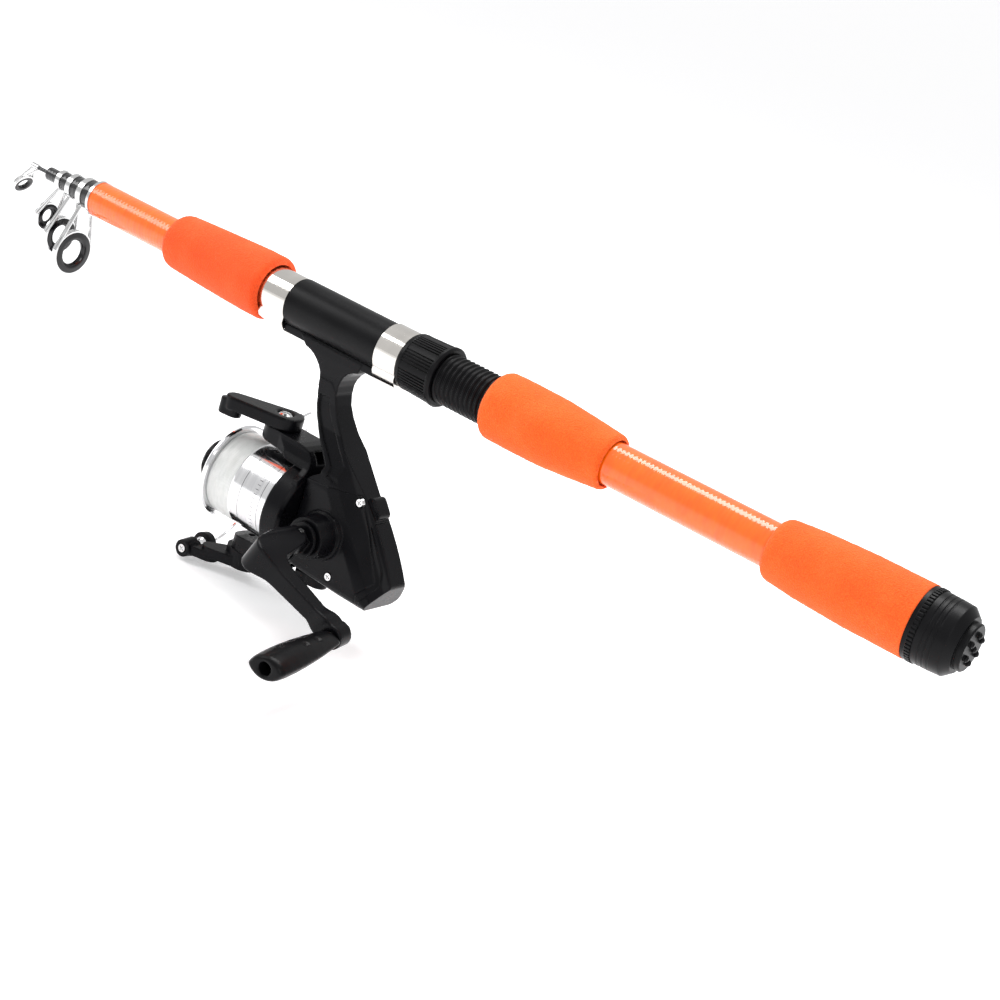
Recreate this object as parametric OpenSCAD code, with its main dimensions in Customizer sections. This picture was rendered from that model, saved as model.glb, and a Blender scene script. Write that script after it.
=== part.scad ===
// Telescopic spinning rod, collapsed, with a small spinning reel in its seat.
// +X runs along the rod toward the butt, +Z is up, the reel hangs below.
// The origin is on the rod axis where the rear grip meets the butt cap.

/* [Rod] */
// outside diameter of the blank at the butt
blank_butt_d = 18.4; // [16:0.1:22]
// outside diameter of the blank at its mouth
blank_mouth_d = 16.8; // [15:0.1:20]
// distance from the butt cap to the mouth of the blank
blank_len = 442; // [400:1:480]
// outside diameters of the inner sections, largest first
section_d = [13.8, 11.2, 8.8, 6.6]; // [4:0.1:16]
// how far each collapsed section stands out of the one before
section_show = [10, 9, 8.5, 8, 11.5]; // [4:0.5:16]
// outside diameter of the tip section at its base
tip_base_d = 3.8; // [3:0.1:5]
// outside diameter of the tip section at its end
tip_end_d = 1.9; // [1.4:0.1:2.6]
// travel of each section
section_travel = 330; // [250:5:340]

/* [Grips] */
// outside diameter of the foam grips at their widest
grip_d = 30; // [26:0.5:34]
// length of the rear grip
rear_grip_len = 63; // [50:1:80]
// start and end of the middle grip, measured from the butt cap
mid_grip_u = [139, 199]; // [120:1:220]
// start and end of the front grip, measured from the butt cap
front_grip_u = [325.5, 388]; // [310:1:400]

/* [Reel seat] */
// outside diameter of the seat barrel
barrel_d = 22.4; // [20:0.1:26]
// start and end of the barrel between the hoods
barrel_u = [257.2, 310.8]; // [240:0.1:330]
// depth of the thread's crests below the barrel's surface
thread_drop = 0.1; // [0:0.05:0.5]
// pitch of the seat thread
thread_pitch = 2.5; // [1.5:0.1:4]
// length of the lock nut
nut_len = 19.5; // [14:0.5:26]

/* [Reel] */
// depth of the spool axis below the rod axis
spool_drop = 86; // [70:1:100]
// distance of the handle axis behind the barrel's rear end
crank_set = 1.2; // [0:0.1:4]
// diameter of the spool lip
lip_d = 45; // [40:0.5:52]
// diameter of the spool skirt
skirt_d = 40.8; // [36:0.2:46]
// inside diameter of the rotor cup
cup_d = 43.6; // [40:0.2:52]
// distance of the bail pivots from the spool axis
bail_r = 31; // [30:0.5:36]
// crank length from hub to knob
crank_len = 49.6; // [38:0.5:55]
// crank angle below the rod direction
crank_angle = 24; // [0:1:90]
// teeth of the pinion
pinion_teeth = 8; // [8:1:8]
// teeth of the drive gear
gear_teeth = 30; // [30:1:30]

/* [Hidden] */
$fn = 64;
fit = 0.05;          // between pieces fixed to each other
run = 0.08;          // between pieces that turn or slide
thread_d = barrel_d - 2 * thread_drop;
crank_u = barrel_u[0] - crank_set;

// the blank is straight at both ends and tapers under the seat
taper_u = [205, 235];
function blank_r(u) = lookup(u, [[taper_u[0], blank_butt_d / 2], [taper_u[1], blank_mouth_d / 2]]);
mouth_len = 10;
collar_len = 9;
ends = [blank_len,
  blank_len + section_show[0],
  blank_len + section_show[0] + section_show[1],
  blank_len + section_show[0] + section_show[1] + section_show[2],
  blank_len + section_show[0] + section_show[1] + section_show[2] + section_show[3],
  blank_len + section_show[0] + section_show[1] + section_show[2] + section_show[3] + section_show[4]];
function base_u(i) = ends[i - 1] - mouth_len - section_travel - 1 - collar_len;
collar = 0.62;       // how far each base collar stands out
function sect_r(i) = section_d[i - 1] / 2;

// ---- placing helpers
module rodwise(z = 0) translate([0, 0, z]) rotate([0, -90, 0]) children();
module turned(points, z = 0) rodwise(z) rotate_extrude() polygon(points);
module side(y0, y1) translate([0, y0, 0]) rotate([90, 0, 0]) linear_extrude(y0 - y1) children();
module front_on(x0, x1) translate([x0, 0, 0]) rotate([90, 0, 90]) linear_extrude(x1 - x0) children();
module wire(a, b, r) {
  d = b - a;
  translate(a) rotate([0, acos(d.z / norm(d)), atan2(d.y, d.x)]) cylinder(h = norm(d), r = r, $fn = 20);
}
// outline with two round ends, drawn as one closed line
module slug(p, rp, q, rq) {
  a = atan2(q.y - p.y, q.x - p.x);
  b = acos((rp - rq) / norm(q - p));
  polygon(concat(arc(p.x, p.y, rp, a + b, a + 360 - b, 16), arc(q.x, q.y, rq, a - b, a + b, 16)));
}
function arc(cx, cy, r, a0, a1, n = 8) = [for (i = [0:n]) [cx + r * cos(a0 + (a1 - a0) * i / n),
  cy + r * sin(a0 + (a1 - a0) * i / n)]];

// ---- telescopic blank
module blank() color("orangered") turned(concat(
  [[blank_r(-12), -12], [blank_r(0), taper_u[0]], [blank_r(blank_len), taper_u[1]], [blank_r(blank_len),
  blank_len]],
  [[sect_r(1) + run, blank_len], [sect_r(1) + run, blank_len - mouth_len],
   [sect_r(1) + collar + run, blank_len - mouth_len - 1], [sect_r(1) + collar + run, -12]]));
module blank_ring() color("silver") turned([
  [blank_r(blank_len) + fit, blank_len - 1.4], [blank_r(blank_len) + 0.45, blank_len - 1.4],
  [blank_r(blank_len) + 0.45, blank_len + 0.2], [blank_r(blank_len) - 0.3, blank_len + 0.2],
  [blank_r(blank_len) - 0.3, blank_len + fit], [blank_r(blank_len) + fit, blank_len + fit]]);
module section(i) {
  ro = sect_r(i);
  ri = (i < 4 ? sect_r(i + 1) : tip_base_d / 2);
  turned([[ro + collar, base_u(i)], [ro + collar, base_u(i) + collar_len], [ro, base_u(i)
    + collar_len + 0.6],
    [ro, ends[i] - 0.4], [ro - 0.4, ends[i]], [ri + run, ends[i]], [ri + run, ends[i] - mouth_len],
    [ri + (i < 4 ? collar : 0.5) + run, ends[i] - mouth_len - 1], [ri + (i < 4 ? collar : 0.5) + run,
    base_u(i)]]);
}
module section_5() color("black") section(1);
module section_4() color("black") section(2);
module section_3() color("black") section(3);
module section_2() color("black") section(4);
tip_b = ends[4] - mouth_len - section_travel - 1 - collar_len;
module tip_section() color("black") turned([[0, tip_b], [tip_base_d / 2 + 0.5, tip_b],
  [tip_base_d / 2 + 0.5, tip_b + collar_len], [tip_base_d / 2, tip_b + collar_len + 0.5],
  [tip_base_d / 2, tip_b + 40], [tip_end_d / 2, ends[5] - 4], [tip_end_d / 2, ends[5]], [0, ends[5]]]);

// ---- line guides: a ferrule on the section, two V wires and a lined ring
// g = [section radius, ferrule start, ferrule end, ring u, ring drop, hole radius, ring radius]
guide_5 = [sect_r(1), ends[1] - 4.2, ends[1] - 1, ends[1] - 0, 30.2, 6.0, 10.2];
guide_4 = [sect_r(2), ends[2] - 4, ends[2] - 1, ends[2] + 1.5, 25.2, 4.6, 8.4];
guide_3 = [sect_r(3), ends[3] - 3.8, ends[3] - 1, ends[3] + 4, 19.6, 3.0, 6.0];
rim = 0.75;
wire_r = 0.55;
module guide_frame(g) {
  turned([[g[0] + fit, g[1]], [g[0] + 0.5, g[1]], [g[0] + 0.5, g[2]], [g[0] + fit, g[2]]]);
  translate([-g[3], 0, -g[4]]) rotate([0, -90, 0]) rotate_extrude()
    polygon([[g[6] + fit, -1.4], [g[6] + rim, -1.4], [g[6] + rim, 1.4], [g[6] + fit, 1.4]]);
  for (s = [-1, 1]) for (k = [0, 1])
    wire([-g[3] - (k - 0.5) * 1.6, s * (g[6] + rim + 0.1), -g[4] + 1.2],
      [-(k == 0 ? g[1] + 1 : g[2] - 1), s * g[0] * 0.55, -g[0] * 0.835 - 0.35], wire_r);
}
module guide_ring(g) translate([-g[3], 0, -g[4]]) rotate([0, -90, 0]) rotate_extrude()
  polygon(concat(arc(g[5] + 1.9, 0, 1.9, 270, 90, 10), [[g[6], 1.6], [g[6], -1.6]]));
module guide_5_frame() color("silver") guide_frame(guide_5);
module guide_5_ring() color("black") guide_ring(guide_5);
module guide_4_frame() color("silver") guide_frame(guide_4);
module guide_4_ring() color("black") guide_ring(guide_4);
module guide_3_frame() color("silver") guide_frame(guide_3);
module guide_3_ring() color("black") guide_ring(guide_3);
tip_ring = [ends[5] + 5, 10.5, 2.5, 4.7];
tip_tilt = 30;
module tip_ring_place() translate([-tip_ring[0], 0, -tip_ring[1]]) rotate([0, -90 + tip_tilt, 0]) children();
module tip_top_frame() color("silver") difference() {
  union() {
    turned([[tip_end_d / 2 + fit, ends[5] - 3.8], [tip_end_d / 2 + 0.5, ends[5] - 3.8],
      [tip_end_d / 2 + 0.5, ends[5] + 1], [0, ends[5] + 1], [0, ends[5] + fit],
      [tip_end_d / 2 + fit, ends[5] + fit]]);
    tip_ring_place() cylinder(h = 2.2, r = tip_ring[3] + rim, center = true);
    for (s = [-1, 1]) for (end = [[-ends[5] - 0.4, -0.7], [-ends[5] + 3.2, -1.1]])
      wire([-tip_ring[0], s * (tip_ring[3] + rim + 0.05), -tip_ring[1]], [end.x, s * 0.8, end.y], 0.45);
  }
  // seat of the liner, which also trims the wires
  tip_ring_place() cylinder(h = 2.5, r = tip_ring[3] + fit, center = true);
}
module tip_top_ring() color("black") tip_ring_place() rotate_extrude()
  polygon(concat(arc(tip_ring[2] + 1.2, 0, 1.2, 270, 90, 8), [[tip_ring[3], 1.1], [tip_ring[3], -1.1]]));

// ---- foam grips
gr = grip_d / 2;
module front_grip() color("tomato") turned(concat(
  [[barrel_d / 2 + 0.9, front_grip_u[0]]], arc(gr - 3, front_grip_u[0] + 3, 3, 270, 360, 6),
  [[gr, front_grip_u[0] + 12], [gr - 1.1, front_grip_u[1] - 22]],
  arc(gr - 2 - 4.5, front_grip_u[1] - 4.5, 4.5, 0, 90, 6),
  [[blank_r(front_grip_u[1]) + fit, front_grip_u[1]], [blank_r(front_grip_u[0] + 6) + fit,
  front_grip_u[0] + 6],
   [barrel_d / 2 + 0.9, front_grip_u[0] + 6]]));
module middle_grip() color("tomato") turned(concat(
  [[blank_r(mid_grip_u[0]) + 0.5, mid_grip_u[0] + 2], [blank_r(mid_grip_u[0]) + 0.9, mid_grip_u[0]]],
  arc(12.1 - 2, mid_grip_u[0] + 2, 2, 270, 360, 5),
  [[13.3, mid_grip_u[0] + 14], [gr - 0.3, mid_grip_u[0] + 30], [gr - 0.1, mid_grip_u[1] - 14]],
  arc(gr - 0.2 - 3.5, mid_grip_u[1] - 3.5, 3.5, 0, 90, 6),
  [[thread_d / 2 + fit, mid_grip_u[1]], [thread_d / 2 + fit, mid_grip_u[1] - 6],
   [blank_r(mid_grip_u[1] - 6) + fit, mid_grip_u[1] - 6], [blank_r(mid_grip_u[0] + 8) + fit,
   mid_grip_u[0] + 8],
   [blank_r(mid_grip_u[0] + 8) + 0.5, mid_grip_u[0] + 8]]));
module rear_grip() color("tomato") turned(concat(
  [[blank_r(0) + fit, 0], [gr, 0], [gr, 24], [gr - 1.0, rear_grip_len - 16]],
  arc(gr - 2.1 - 4, rear_grip_len - 4, 4, 0, 90, 6),
  [[blank_r(rear_grip_len) + fit, rear_grip_len]]));

// ---- butt cap
knurl_n = 56;
module cap_ring() color("black") difference() {
  turned([[blank_r(0) + fit, -fit], [gr - 0.35, -fit], [gr - 0.35, -1.6], [gr - 0.1, -1.9], [gr - 0.1, -4],
    [blank_r(-4) + fit, -4]]);
  for (i = [0:knurl_n - 1]) rodwise() rotate(i * 360 / knurl_n)
    translate([gr - 0.55, -0.35, -4.01]) cube([1, 0.7, 2.12]);
}
cap_r = gr - 0.55;
module butt_cap() color("black") {
  turned([[blank_r(-5) + fit, -4 - fit], [cap_r, -4 - fit], [cap_r, -6.6], [cap_r - 0.25, -6.8],
    [cap_r - 0.25, -7.2],
    [cap_r - 0.05, -7.4], [cap_r - 0.05, -8.6], [cap_r - 0.3, -8.8], [cap_r - 0.3, -9.2], [cap_r - 0.1,
    -9.4],
    [cap_r - 0.1, -10.6], [cap_r - 0.35, -10.8], [cap_r - 0.35, -11.2], [cap_r - 0.15, -11.4],
    [cap_r - 0.4, -15.3], [cap_r - 1.1, -16.1], [cap_r - 3.2, -18.4], [9.6, -18.4], [9.6, -20.6], [9.1,
    -21.1],
    [0, -21.1], [0, -14], [blank_r(-12.2) + fit, -14], [blank_r(-12.2) + fit, -12.2]]);
  for (p = concat([[0, 0]], [for (i = [0:5]) 5.6 * [cos(60 * i), sin(60 * i)]]))
    translate([21, p.y, p.x]) rotate([0, 90, 0]) { cylinder(h = 1.1, r = 1.25, $fn = 24);
      translate([0, 0, 1.1]) cylinder(h = 0.6, r1 = 1.25, r2 = 0.6, $fn = 24); }
}

// ---- reel seat, hoods and lock nut
seat_u = [mid_grip_u[1] - 6, front_grip_u[0] + 5.8];
seat_r = thread_d / 2 - 0.85;
nut_u = [barrel_u[0] - 12.4 - nut_len, barrel_u[0] - 12.4];
turns = floor((nut_u[1] + 4 - seat_u[0]) / thread_pitch);
module reel_seat() color("black") difference() {
  turned(concat(
    [[blank_r(seat_u[0]) + fit, seat_u[0]]],
    [for (i = [0:turns - 1]) each [[seat_r, seat_u[0] + i * thread_pitch],
      [seat_r, seat_u[0] + (i + 0.25) * thread_pitch], [thread_d / 2, seat_u[0] + (i + 0.5) * thread_pitch],
      [thread_d / 2, seat_u[0] + (i + 0.72) * thread_pitch], [seat_r, seat_u[0] + (i + 0.97)
      * thread_pitch]]],
    [[seat_r, barrel_u[0] + 0.3], [barrel_d / 2 - 0.3, barrel_u[0] + 0.3], [barrel_d / 2,
    barrel_u[0] + 0.6],
     [barrel_d / 2, barrel_u[1] - 0.5], [barrel_d / 2 - 0.3, barrel_u[1] - 0.2], [seat_r,
     barrel_u[1] - 0.2],
     [seat_r, seat_u[1]], [blank_r(seat_u[1]) + fit, seat_u[1]],
     [blank_r(seat_u[1]) + fit, taper_u[1]], [blank_r(seat_u[0]) + fit, taper_u[0]]]));
  // keyway that keeps the sliding hood from turning
  rotate([-30, 0, 0]) translate([-barrel_u[0] + 0.5, -2.5, seat_r - 0.1])
    cube([barrel_u[0] - mid_grip_u[1] + 0.5, 5, 3]);
}
hood_low = 5.4;      // drop of the pocket over the reel foot
// a sleeve round the seat, with a pocket over the reel foot below it
module hood_body(u0, u1, r, low, pocket_u0, pocket_u1) {
  rodwise() translate([0, 0, u0]) cylinder(h = u1 - u0, r = r);
  intersection() {
    rodwise(-low) translate([0, 0, pocket_u0]) cylinder(h = pocket_u1 - pocket_u0, r = r - 1.4);
    translate([-pocket_u1, 2.2 - r, -r - low - 4]) cube([pocket_u1 - pocket_u0, 2 * r - 4.4, r + low + 4]);
  }
}
module front_hood() color("silver") difference() {
  hood_body(barrel_u[1], front_grip_u[0] + 4.6, barrel_d / 2 - 0.15, hood_low, barrel_u[1],
    front_grip_u[0] - 0.3);
  hood_body(barrel_u[1] - 1, barrel_u[1] + 9, barrel_d / 2 - 0.8, hood_low, barrel_u[1] - 1,
    barrel_u[1] + 9);
  rodwise() translate([0, 0, barrel_u[1] - 1]) cylinder(h = 40, r = seat_r + fit);
  // the pocket fairs into the round front end
  front_cut();
}
module front_cut() side(20, -20) polygon([[-barrel_u[1] - 1.5, -barrel_d / 2 - 8], [-barrel_u[1] - 1.5,
  -barrel_d / 2 - 4.4],
  [-front_grip_u[0] + 0.2, -barrel_d / 2 + 0.15], [-front_grip_u[0] - 8, -barrel_d / 2 + 0.15],
  [-front_grip_u[0] - 8, -barrel_d / 2 - 8]]);
rear_hood_r = thread_d / 2 + 0.75;
module rear_hood() color("silver") difference() {
  hood_body(nut_u[1] + 0.3, barrel_u[0], rear_hood_r, hood_low - 0.9, nut_u[1] + 0.3, barrel_u[0]);
  hood_body(nut_u[1] + 1.3, barrel_u[0] + 1, rear_hood_r - 0.67, hood_low - 0.9, nut_u[1] + 1.3,
    barrel_u[0] + 1);
  rodwise() translate([0, 0, nut_u[1] - 1]) cylinder(h = 40, r = thread_d / 2 + run);
  side(20, -20) polygon([[-nut_u[1] - 0.2, -40], [-nut_u[1] - 0.2, -rear_hood_r - 1.35],
    [-nut_u[1] - 3.2, -rear_hood_r - 4.75], [-nut_u[1] - 3.2, -40]]);
}
nut_r = thread_d / 2 + 2.4;
module lock_nut() color("black") difference() {
  turned([[thread_d / 2 + run, nut_u[0]], [nut_r - 0.9, nut_u[0]], [nut_r, nut_u[0] + 0.9],
    [nut_r, nut_u[0] + 1.9], [nut_r - 0.3, nut_u[0] + 2.2], [nut_r - 0.85, nut_u[1] - 2.6],
    [nut_r - 0.75, nut_u[1] - 2.2], [nut_r - 1, nut_u[1] - 0.6], [nut_r - 1.5, nut_u[1]],
    [thread_d / 2 + run, nut_u[1]]]);
  for (g = [0:8]) for (k = [0:4]) rodwise() rotate(g * 40 + k * 6)
    translate([nut_r - 1.15, -0.33, nut_u[0] + 2.1]) cube([2, 0.66, nut_len - 4.6]);
}

// ---- reel housing, placed from the crank axis and the spool axis
cx = -crank_u;
sz = -spool_drop;
function at(x, z) = [cx + x, sz + z];
function curve(a, b, c, d, n = 8) = [for (i = [0:n]) let (t = i / n, s = 1 - t)
  s * s * s * a + 3 * s * s * t * b + 3 * s * t * t * c + t * t * t * d];
gear_r = [9.4, 12.2];    // face gear, inside and outside of its teeth
face_x = cx - gear_r[1] - 3.4;
rotor_u = -face_x + 1;   // back of the rotor
line_u = [rotor_u + 33.2, rotor_u + 46.6];
spool_front = line_u[1] + 3.2;
boss_y = -24.3;          // outer end of the crank boss
foot_u = [barrel_u[0] - 7, barrel_u[1] + 7.5];
foot_r = barrel_d / 2 + 3;
neck_x = [-foot_u[1] + 33.3, -foot_u[1] + 43.7];
neck_z = -foot_r - 9.8;
ridge_top = at(13.4, 20.8);
ridge_end = at(37.4, -8.5);
heel = at(29, -23.2);
module housing_side() polygon(concat(
  curve([neck_x[0], neck_z], [neck_x[0] + 0.2, neck_z - 18], at(-18, 36), at(-10, 28.4)),
  [at(-10.4, 24.6), [face_x + 2, sz + 22.4], [face_x, sz + 20.4]],
  arc(face_x + 8, sz - 12.4, 8, 180, 262, 5), arc(heel.x, heel.y + 1.6, 1.6, 265, 330, 3),
  arc(ridge_end.x - 1.6, ridge_end.y - 0.6, 1.6, 330, 385, 3),
  curve(ridge_end, at(32, 1), at(24, 11), ridge_top, 6),
  curve(ridge_top, at(-6.5, 39.5), [neck_x[1] - 0.8, neck_z - 13], [neck_x[1], neck_z])));
// widths seen from the front, with the sides set in by a given depth
function half_front(inset) = [[7.5 - inset, neck_z + 16], [6.2 - inset, neck_z + 4], [5.4 - inset,
  neck_z - 9],
  [6.2 - inset, sz + 42], [8.6 - inset, sz + 33], [11.4 - inset, sz + 26], [12.6 - inset, sz + 19],
  [12.6 - inset, sz - 16.6]];
module housing_front(inset = 0) {
  h = half_front(inset);
  polygon(concat([for (i = [0:7]) [-h[i].x, h[i].y]], arc(-6.1, sz - 17, 6.4, 180, 270, 5),
    arc(6.1, sz - 17, 6.4, 270, 360, 5), [for (i = [7:-1:0]) h[i]]));
}
// the sides draw in toward the ridge at the back
ridge_tilt = atan2(ridge_top.y - ridge_end.y, ridge_end.x - ridge_top.x);
module ridge_wedge() translate([ridge_top.x, 0, ridge_top.y]) rotate([0, ridge_tilt, 0]) translate([-60,
  0, 0])
  rotate([90, 0, 90]) linear_extrude(140) polygon([[-4.6, 3], [-5.2, -0.4], [-7.4, -3], [-11, -9],
    [-12.8, -15],
    [-12.8, -90], [12.8, -90], [12.8, -15], [11, -9], [7.4, -3], [5.2, -0.4], [4.6, 3]]);
module recess_side() polygon(concat(
  curve([neck_x[0] + 2.2, neck_z - 7], [neck_x[0] + 2.4, neck_z - 18], at(-15.6, 36.4), at(-7.2, 29)),
  [at(-7.2, 25), at(4, 22)],
  curve(at(10.8, 20.4), at(-8.6, 38.4), [neck_x[1] - 2.8, neck_z - 14], [neck_x[1] - 2.4, neck_z - 7])));
module housing_solid() difference() {
  intersection() {
    side(13, -13) housing_side();
    front_on(-foot_u[1], ridge_end.x + 5) housing_front();
    ridge_wedge();
  }
  difference() {
    side(13, -13) recess_side();
    front_on(-foot_u[1], ridge_end.x + 5) housing_front(0.9);
  }
}
wall_back = [at(19, 12), at(31.4, -4.2), at(33.4, -9.4), at(27.6, -20)];
module cavity_side() polygon(concat([[face_x + 3, sz + 20], [face_x + 3, sz - 12]],
  arc(face_x + 9, sz - 12.2, 5.8, 180, 270, 4), [wall_back[3], wall_back[2], wall_back[1], wall_back[0],
    at(8, 20)]));
// hollow of the housing, round the posts that take the cover screws
module cavity() difference() {
  intersection() {
    side(10.4, -10.4) cavity_side();
    translate([-2.6, 0, -2]) ridge_wedge();
  }
  for (p = screw_at) translate([p.x, 2, p.y]) rotate([90, 0, 0]) cylinder(h = 16, r = 3.4, $fn = 32);
}
split_y = -4.4;
module cover_side() polygon(concat([[face_x, sz + 20.2]], [[face_x, sz - 12.4]],
  arc(face_x + 8, sz - 12.4, 8, 180, 262, 5), [at(25.6, -26), at(25.6, -16), at(31.2, -9), at(19.6, 9.6),
    at(10, 22.6)]));
module tail_side() polygon([at(22, 16.4), at(19, 12), at(31.4, -4.2), at(33.4, -9.4), at(27, -20.6),
  at(26.4, -30),
  at(46, -30), at(46, 16.4)]);
module reel_frame() color("black") difference() {
  union() {
    housing_solid();
    // foot, curved to the seat
    intersection() {
      turned([[seat_r + fit, foot_u[0]], [foot_r - 1.2, foot_u[0]], [foot_r - 0.9, foot_u[0] + 0.6],
        [foot_r - 0.9, barrel_u[0] + 0.4], [foot_r, barrel_u[0] + 0.8], [foot_r, barrel_u[1] - 0.8],
        [foot_r - 0.9, barrel_u[1] - 0.4], [foot_r - 0.9, foot_u[1] - 0.6], [foot_r - 1.2, foot_u[1]],
        [seat_r + fit, foot_u[1]]]);
      translate([0, 0, -20]) linear_extrude(13.6) slug([-foot_u[0] - 7, 0], 7, [-foot_u[1] + 6.5, 0], 6.5);
    }
    // blend of the neck into the foot
    intersection() {
      side(7.4, -7.4) polygon(concat([[-foot_u[1] + 18, -10]], arc(neck_x[0] - 13, neck_z - 2.6, 12.9,
        82, 8, 6),
        [[neck_x[0], neck_z - 4], [neck_x[1], neck_z - 4]], arc(neck_x[1] + 11.1, neck_z - 1.2, 11, 192,
        100, 6),
        [[neck_x[1] + 10, -10]]));
      front_on(-foot_u[1], -foot_u[0]) polygon([[-7.4, -8], [-7, -14], [-5.8, neck_z + 2], [-5.4,
        neck_z - 9],
        [5.4, neck_z - 9], [5.8, neck_z + 2], [7, -14], [7.4, -8]]);
    }
    rear_bump();
  }
  rodwise() translate([0, 0, barrel_u[0] + 0.2]) cylinder(h = barrel_u[1] - barrel_u[0] - 0.3,
    r = barrel_d / 2 + fit);
  rodwise() translate([0, 0, 200]) cylinder(h = 140, r = seat_r + fit);
  cavity();
  side(split_y, -14) cover_side();
  side(14, -14) tail_side();
  bearing_seat();
  guide_rod_hole();
  lever_slot();
  screw_holes();
}
module bearing_seat() rodwise(sz) translate([0, 0, -face_x - 4]) cylinder(h = 6, r = 6 + fit);
module rear_bump() side(3.8, -3.8) slug(ridge_top + [1.1, 0], 2.4, ridge_top + [4.6, -4], 2.4);
// cover screws: place of each head and how far out it sits
screw_at = [at(11, 20), at(9.4, -15.8)];
screw_y = [-7.4, -12.4];
module screw_holes() for (i = [0, 1]) translate([screw_at[i].x, screw_y[i] - 1, screw_at[i].y])
  rotate([-90, 0, 0])
  cylinder(h = 9, r = 1.1 + fit, $fn = 24);
boss_r = 10.2;
module side_cover() color("black") difference() {
  union() {
    intersection() { housing_solid(); side(split_y - fit, -14) cover_side(); }
    translate([cx, -11, sz]) rotate([90, 0, 0]) {
      cylinder(h = 3.4, r1 = boss_r + 1.4, r2 = boss_r + 0.6);
      cylinder(h = -boss_y - 11, r1 = boss_r, r2 = boss_r - 1);
    }
  }
  cavity();
  bearing_seat();
  lever_slot();
  translate([cx, 0, sz]) rotate([90, 0, 0]) cylinder(h = 30, r = 5 + fit);
  for (i = [0, 1]) translate([screw_at[i].x, screw_y[i], screw_at[i].y]) rotate([90, 0, 0]) {
    translate([0, 0, -8]) cylinder(h = 10, r = 1.1 + fit, $fn = 24);
    translate([0, 0, -1]) cylinder(h = 8, r = 2.1 + fit, $fn = 32);
  }
}
module tail_cover() color("black") difference() {
  intersection() {
    union() {
      housing_solid();
      rear_bump();
    }
    translate([fit, 0, 0]) side(14, -14) tail_side();
  }
  cavity();
  guide_rod_hole();
}
module cover_screws() color("silver") for (i = [0, 1]) difference() {
  translate([screw_at[i].x, screw_y[i] + 1 - fit, screw_at[i].y]) rotate([90, 0, 0]) {
    translate([0, 0, -6]) cylinder(h = 6.4, r = 1.1, $fn = 24);
    cylinder(h = 1.4, r1 = 2.1, r2 = 1.7, $fn = 32);
  }
  for (a = [0, 90]) translate([screw_at[i].x, screw_y[i] - 0.6, screw_at[i].y]) rotate([0, a + 20, 0])
    cube([2.4, 1.2, 0.5], center = true);
}

// ---- gear train
module main_bearing() color("silver") rodwise(sz) translate([0, 0, -face_x - 2.6]) difference() {
  cylinder(h = 2.6, r = 6);
  translate([0, 0, -1]) cylinder(h = 6, r = 3.5 + run);
  translate([0, 0, 2.3]) difference() { cylinder(h = 1, r = 5.2); cylinder(h = 1, r = 4.3); }
}
module gear_bushing() color("goldenrod") translate([cx, -9, sz]) rotate([90, 0, 0]) difference() {
  cylinder(h = -boss_y - 9.2, r = 5);
  translate([0, 0, -1]) cylinder(h = 20, r = 3 + run);
}
rod_at = [4.4, sz - 8];    // guide rod, y and z
rod_end = at(34.6, 0).x;
module guide_rod() color("silver") translate([face_x + 1.2, rod_at.x, rod_at.y]) rotate([0, 90, 0])
  cylinder(h = rod_end - face_x - 1.2, r = 1, $fn = 24);
module guide_rod_hole() translate([face_x + 1, rod_at.x, rod_at.y]) rotate([0, 90, 0])
  cylinder(h = rod_end - face_x - 0.8, r = 1 + fit, $fn = 24);
tooth_x = [cx - gear_r[1] - 0.4, cx - gear_r[0] + 0.4];
module pinion() color("goldenrod") difference() {
  union() {
    turned([[0, -tooth_x[0] - 0.3], [3.5, -tooth_x[0] - 0.3], [3.5, rotor_u + 6], [3, rotor_u + 6], [3,
      rotor_u + 11.8],
      [0, rotor_u + 11.8]], sz);
    translate([tooth_x[0], 0, sz]) rotate([0, 90, 0]) linear_extrude(tooth_x[1] - tooth_x[0])
      union() {
        circle(2.3);
        for (i = [0:pinion_teeth - 1]) rotate(90 + i * 360 / pinion_teeth)
          polygon([[2, -0.66], [2.5, -0.58], [3.3, -0.28], [3.3, 0.28], [2.5, 0.58], [2, 0.66]]);
      }
  }
  rodwise(sz) translate([0, 0, crank_u]) cylinder(h = 40, r = 1.5 + run);
}
shank_r = 1.8;
module drive_gear() color("goldenrod") translate([cx, 0, sz]) rotate([90, 0, 0]) difference() {
  union() {
    translate([0, 0, 3.6]) cylinder(h = 1.8, r = gear_r[1]);
    translate([0, 0, 5]) cylinder(h = 3.9, r = 4.4);
    translate([0, 0, 5]) cylinder(h = -boss_y - 5, r = 3);
    intersection() {
      for (i = [0:gear_teeth - 1]) rotate(180 + (i + 0.5) * 360 / gear_teeth) rotate([90, 0, 90])
        translate([0, 0, gear_r[0]]) linear_extrude(gear_r[1] - gear_r[0] + 1)
        polygon([[-0.62, 3.7], [-0.36, 2.5], [0.36, 2.5], [0.62, 3.7]]);
      cylinder(h = 10, r = gear_r[1]);
    }
  }
  translate([0, 0, 12]) cylinder(h = 20, r = shank_r + fit);
}
shaft_u = [crank_u - 23.4, spool_front + 11.6];
module main_shaft() color("silver") difference() {
  rodwise(sz) translate([0, 0, shaft_u[0]]) cylinder(h = shaft_u[1] - shaft_u[0], r = 1.5, $fn = 32);
  // flats that carry the lower drag washer
  for (s = [-1, 1]) translate([-spool_front + 1.4, s * 2.5, sz]) cube([8, 2.6, 6], center = true);
}
block_u = shaft_u[0] + 4;
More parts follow.
